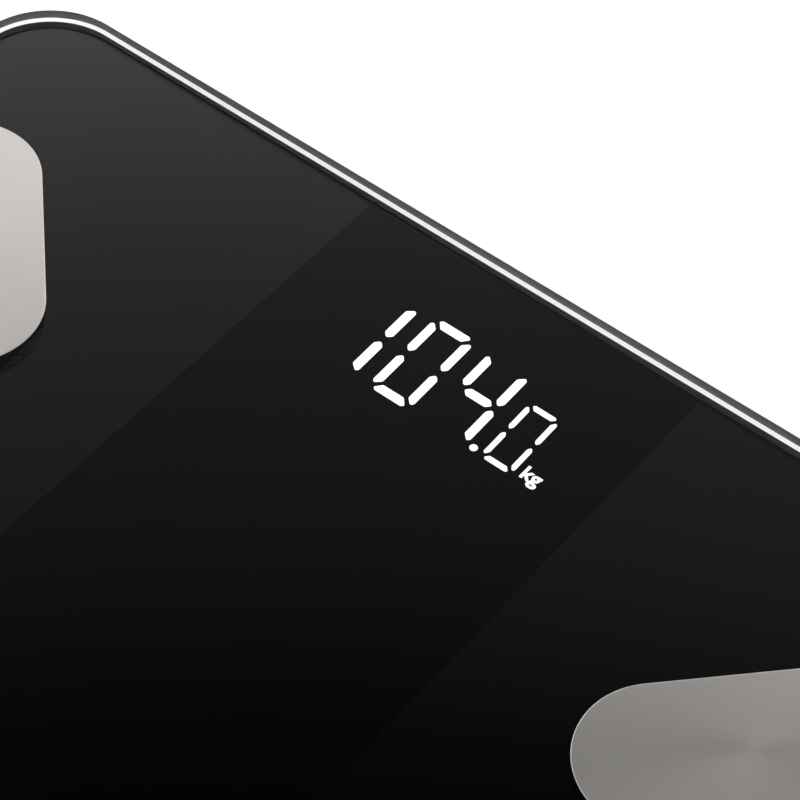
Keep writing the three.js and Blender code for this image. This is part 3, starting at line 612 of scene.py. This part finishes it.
def add_glass():
    low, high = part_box("glass_platform")
    half = high.x / MM
    bottom, top = low.z / MM + INK_GAP, high.z / MM

    def outline_at(inset):
        return rounded_square(half - inset, GLASS_CORNER - inset)

    rings = plate_rings(outline_at, bottom, top, GLASS_FOOT_CHAMFER, GLASS_TOP_ROLL,
                        foot_steps=1, top_steps=6)
    materials = [polished_glass(), ground_glass()]
    glass = lofted("platform_glass", rings, materials, side_material=1)
    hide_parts("glass_platform")
    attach(glass, "platform")


def panel_outline(side, half):
    """One side panel: two rounded corners outside, and a straight edge along the middle band."""
    outer = half - PANEL_MARGIN
    inner = outer - PANEL_CORNER
    points = [(BAND_HALF_WIDTH, -outer)]
    points += arc((inner, -inner), PANEL_CORNER, 270, 360, PANEL_STEPS)
    points += arc((inner, inner), PANEL_CORNER, 0, 90, PANEL_STEPS)
    points.append((BAND_HALF_WIDTH, outer))
    if side > 0:
        return points
    return [(-x, y) for x, y in reversed(points)]


def add_print():
    """The print's field and its two side panels. Returns the height where the lit shapes start."""
    low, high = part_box("glass_platform")
    half = high.x / MM
    bottom = low.z / MM + 2 * INK_GAP
    top = bottom + INK_THICKNESS
    field = rounded_square(half - PRINT_MARGIN, GLASS_CORNER - PRINT_MARGIN)
    black = gloss_ink("black_ink", FIELD_REFLECTION)
    pieces = [flat_piece("print_field", field, bottom, top, black)]
    ink = gloss_ink("panel_ink", PANEL_REFLECTION)
    panel_low, panel_high = top + LAYER_STEP, top + 2 * LAYER_STEP
    for side, name in ((-1, "print_panel_left"), (1, "print_panel_right")):
        outline = panel_outline(side, half)
        pieces.append(flat_piece(name, outline, panel_low, panel_high, ink))
    for piece in pieces:
        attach(piece, "platform")
    return top + 3 * LAYER_STEP


# ---- The read-out ----

def join(name, pieces):
    """One piece out of several meshes with the same material."""
    bm = bmesh.new()
    for piece in pieces:
        bm.from_mesh(piece.data)
    mesh = bpy.data.meshes.new(name)
    bm.to_mesh(mesh)
    bm.free()
    joined = new_object(name, mesh, [pieces[0].data.materials[0]])
    for piece in pieces:
        bpy.data.objects.remove(piece)
    return joined


def level_bar(stroke):
    """The bar across the top of a full-size digit, about the digit's middle, with slanted ends."""
    top = BASELINE_DEPTH
    height = BAR * stroke
    flat, widest, shoulder = 3.6, 4.25, top - 0.65
    narrowest = widest - height * 0.6
    left = [(-flat, top), (-widest, shoulder), (-narrowest, top - height)]
    right = [(narrowest, top - height), (widest, shoulder), (flat, top)]
    return left + right


def upright_bar(stroke):
    """The upper right bar of a full-size digit, with a slanted top and a pointed foot."""
    outer = HALF_WIDTH
    inner = outer - STROKE * stroke
    middle = (outer + inner) / 2
    tip, foot, half_foot = 11.0, 1.05, 0.25
    outer_side = [(outer, 2.0), (outer, 10.5), (5.2, tip)]
    inner_side = [(4.85, tip), (inner, 9.75), (inner, 2.05)]
    return outer_side + inner_side + [(middle - half_foot, foot), (middle + half_foot, foot)]


def middle_bar(stroke):
    """The bar across the middle of a full-size digit, pointed at both ends."""
    half, flat, tip = BAR * stroke / 2, 2.6, 3.7
    return [(-tip, 0.0), (-flat, -half), (flat, -half), (tip, 0.0), (flat, half), (-flat, half)]


def runs_clockwise(outline):
    following = outline[1:] + outline[:1]
    return sum(a[0] * b[1] - b[0] * a[1] for a, b in zip(outline, following)) < 0


# Each segment's outline, and its flips across and up
SEGMENTS = {
    "a": (level_bar, 1, 1),
    "b": (upright_bar, 1, 1),
    "c": (upright_bar, 1, -1),
    "d": (level_bar, 1, -1),
    "e": (upright_bar, -1, -1),
    "f": (upright_bar, -1, 1),
    "g": (middle_bar, 1, 1),
}


def add_digit(name, segments, x, size, stroke, bottom, material):
    """One digit, which stands on the same baseline as the full-size ones."""
    middle = DISPLAY_MIDDLE - BASELINE_DEPTH * (1 - size[1])
    bars = []
    for key in segments:
        outline, flip_x, flip_y = SEGMENTS[key]
        placed = []
        for across, up in softened(outline(stroke), CORNER_ROUNDING):
            y = middle + up * flip_y * size[1]
            lean = DIGIT_LEAN * (y - DISPLAY_MIDDLE)
            placed.append((x + across * flip_x * size[0] + lean, y))
        if runs_clockwise(placed):
            placed.reverse()
        bars.append(flat_piece(f"{name}_{key}", placed, bottom, bottom + LIT_THICKNESS, material))
    return join(name, bars)


def add_unit(bottom, material):
    """The kilogram sign, in the plain built-in lettering."""
    text = bpy.data.curves.new("lit_unit", "FONT")
    text.body = "kg"
    text.size = UNIT_HEIGHT * MM
    text.offset = UNIT_BOLDNESS * MM
    text.extrude = LIT_THICKNESS / 2 * MM
    maker = bpy.data.objects.new("maker", text)
    bpy.context.scene.collection.objects.link(maker)
    bpy.context.view_layer.update()
    ready = maker.evaluated_get(bpy.context.evaluated_depsgraph_get())
    mesh = bpy.data.meshes.new_from_object(ready)
    bpy.data.objects.remove(maker)
    height = bottom + LIT_THICKNESS / 2
    mesh.transform(Matrix.Translation(Vector((*UNIT_PLACE, height)) * MM))
    mesh.materials.clear()
    return new_object("lit_unit", mesh, [material])


def add_readout(bottom):
    material = lit()
    pieces = [add_digit(*digit, bottom, material) for digit in DIGITS]
    dot = arc(POINT_PLACE, POINT_RADIUS, 0, 350, 35)
    pieces.append(flat_piece("lit_point", dot, bottom, bottom + LIT_THICKNESS, material))
    pieces.append(add_unit(bottom, material))
    for piece in pieces:
        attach(piece, "platform")


# ---- The electrodes ----

def electrode_outline(inset):
    return stadium(ELECTRODE_HALF_LENGTH, ELECTRODE_RADIUS - inset)


def add_electrodes():
    """Each electrode's plate, the black tape under it with its painted contact shade, and the stud through
    the glass to its lead.
    """
    steel, tape_and_shade = brushed_steel(), tape_and_contact_shade()
    glass_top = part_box("glass_platform")[1].z / MM
    plate_low = glass_top + TAPE_AND_SHADE_THICKNESS
    for corner, (side_x, side_y) in CORNERS.items():
        low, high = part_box(f"electrode_{corner}")
        centre = (low + high) / 2
        turn = Matrix.Rotation(math.radians(ELECTRODE_SLANT * side_x * side_y), 4, "Z")
        spot = Matrix.Translation((centre.x, centre.y, 0)) @ turn
        rings = plate_rings(electrode_outline, plate_low, high.z / MM, ELECTRODE_ROLL, ELECTRODE_ROLL)
        plate = lofted(f"electrode_plate_{corner}", rings, [steel], angle=60)
        # The tape's black rim, just inside the plate's edge, is painted contact shadow as well as tape
        outline = electrode_outline(TAPE_AND_SHADE_INSET)
        pad = flat_piece(f"electrode_tape_and_shade_{corner}", outline, glass_top, plate_low, tape_and_shade)
        stud_low = low.z / MM
        profile = [(0, stud_low), (STUD_RADIUS - STUD_CHAMFER, stud_low)]
        profile += [(STUD_RADIUS, stud_low + STUD_CHAMFER), (STUD_RADIUS, plate_low), (0, plate_low)]
        stud = turned(f"electrode_stud_{corner}", profile, [steel], sides=32)
        for piece in (plate, pad, stud):
            piece.matrix_world = spot
            piece.visible_transmission = False  # nothing seen through the glass shows them
            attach(piece, "platform")
        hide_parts(f"electrode_{corner}")


# ---- Feet ----

def tread_profile(height):
    """A rubber foot pad: round grooves underneath, and a rounded shoulder."""
    profile = [(0, 0)]
    for groove in GROOVE_RADII:
        profile += [(groove - GROOVE_MOUTH, 0), (groove - GROOVE_ROOT, GROOVE_DEPTH)]
        profile += [(groove + GROOVE_ROOT, GROOVE_DEPTH), (groove + GROOVE_MOUTH, 0)]
    profile.append((TREAD_FLAT, 0))
    profile += [(TREAD_FLAT + beyond, up) for beyond, up in TREAD_SHOULDER]
    return profile + [(TREAD_RADIUS, height), (0, height)]


def add_foot_pads():
    material = rubber()
    for corner in CORNERS:
        low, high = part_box(f"foot_pad_{corner}")
        pad = turned(f"foot_tread_{corner}", tread_profile(high.z / MM), [material])
        pad.location = ((low.x + high.x) / 2, (low.y + high.y) / 2, 0)
        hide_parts(f"foot_pad_{corner}")
        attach(pad, f"foot_{corner}")


# ---- CAD nodes that keep their shape ----

def dress(prefixes, material, edge=EDGE_WIDTH):
    """Gives the CAD nodes whose names start with a prefix their material, and softens their edges."""
    for name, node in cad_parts.items():
        if not name.startswith(prefixes):
            continue
        node.data.materials.clear()
        node.data.materials.append(material)
        weld = node.modifiers.new("weld", "WELD")
        weld.merge_threshold = WELD_REACH * MM
        if edge:
            bevel = node.modifiers.new("soft_edges", "BEVEL")
            bevel.width = edge * MM
            bevel.segments = EDGE_SEGMENTS
            bevel.limit_method = "ANGLE"
            bevel.angle_limit = math.radians(EDGE_ANGLE)


def dress_cad_nodes():
    tray = moulded("tray_plastic", (0.022, 0.0225, 0.024), grain=0.22, rough=(0.42, 0.6), relief=0.03)
    foot = moulded("foot_plastic", (0.03, 0.031, 0.033), grain=0.15, rough=(0.35, 0.5), relief=0.02)
    white = moulded("white_plastic", (0.72, 0.72, 0.69), grain=0.2, rough=(0.4, 0.55), relief=0.01)
    epoxy = moulded("epoxy", (0.02, 0.02, 0.022), grain=0.1, rough=(0.4, 0.55), relief=0.008)
    zinc = rolled_metal("zinc_plate", (0.5, 0.51, 0.52), 0.38)
    dress(("base_tray", "battery_door"), tray)
    dress(("unit_button", "foot_cap"), foot)
    dress(("load_cell_bracket", "display_reflector", "lead_header"), white)
    dress(("controller_chip", "tact_switch"), epoxy)
    dress(tuple(f"load_cell_{corner}" for corner in CORNERS), zinc)
    dress(("radio_module",), rolled_metal("tin_plate", (0.62, 0.63, 0.64), 0.3))
    dress(("board_screw",), rolled_metal("screw_zinc", (0.5, 0.5, 0.51), 0.3))
    dress(("battery_cell",), battery_jacket())

    # Thin or round already, so their edges stay as they are
    film = moulded("film_back", (0.012, 0.012, 0.013), grain=0.3, rough=(0.35, 0.5), relief=0.01)
    diffuser = moulded("diffuser_sheet", (0.85, 0.85, 0.85), grain=0.1, rough=(0.5, 0.6), relief=0.005)
    nickel = rolled_metal("nickel_plate", (0.66, 0.63, 0.57), 0.24)
    dress(("backing_film",), film, edge=0)
    dress(("display_diffuser",), diffuser, edge=0)
    dress(("bonding_tape", "display_gasket"), foam(), edge=0)
    dress(("main_board",), circuit_board(), edge=0)
    dress(("battery_contact", "battery_link"), nickel, edge=0)
    dress(("load_cell_lead",), sleeve("white_sleeve", (0.72, 0.72, 0.7)), edge=0)
    dress(("electrode_lead", "battery_lead_negative"), sleeve("black_sleeve", (0.012, 0.012, 0.013)), edge=0)
    dress(("battery_lead_positive",), sleeve("red_sleeve", (0.4, 0.015, 0.012)), edge=0)


# ---- The whole ----

add_camera()
add_sky()
add_floor()
add_light()
add_glass()
readout_bottom = add_print()
add_readout(readout_bottom)
add_electrodes()
add_foot_pads()
dress_cad_nodes()

bpy.context.scene.view_settings.view_transform = "Standard"
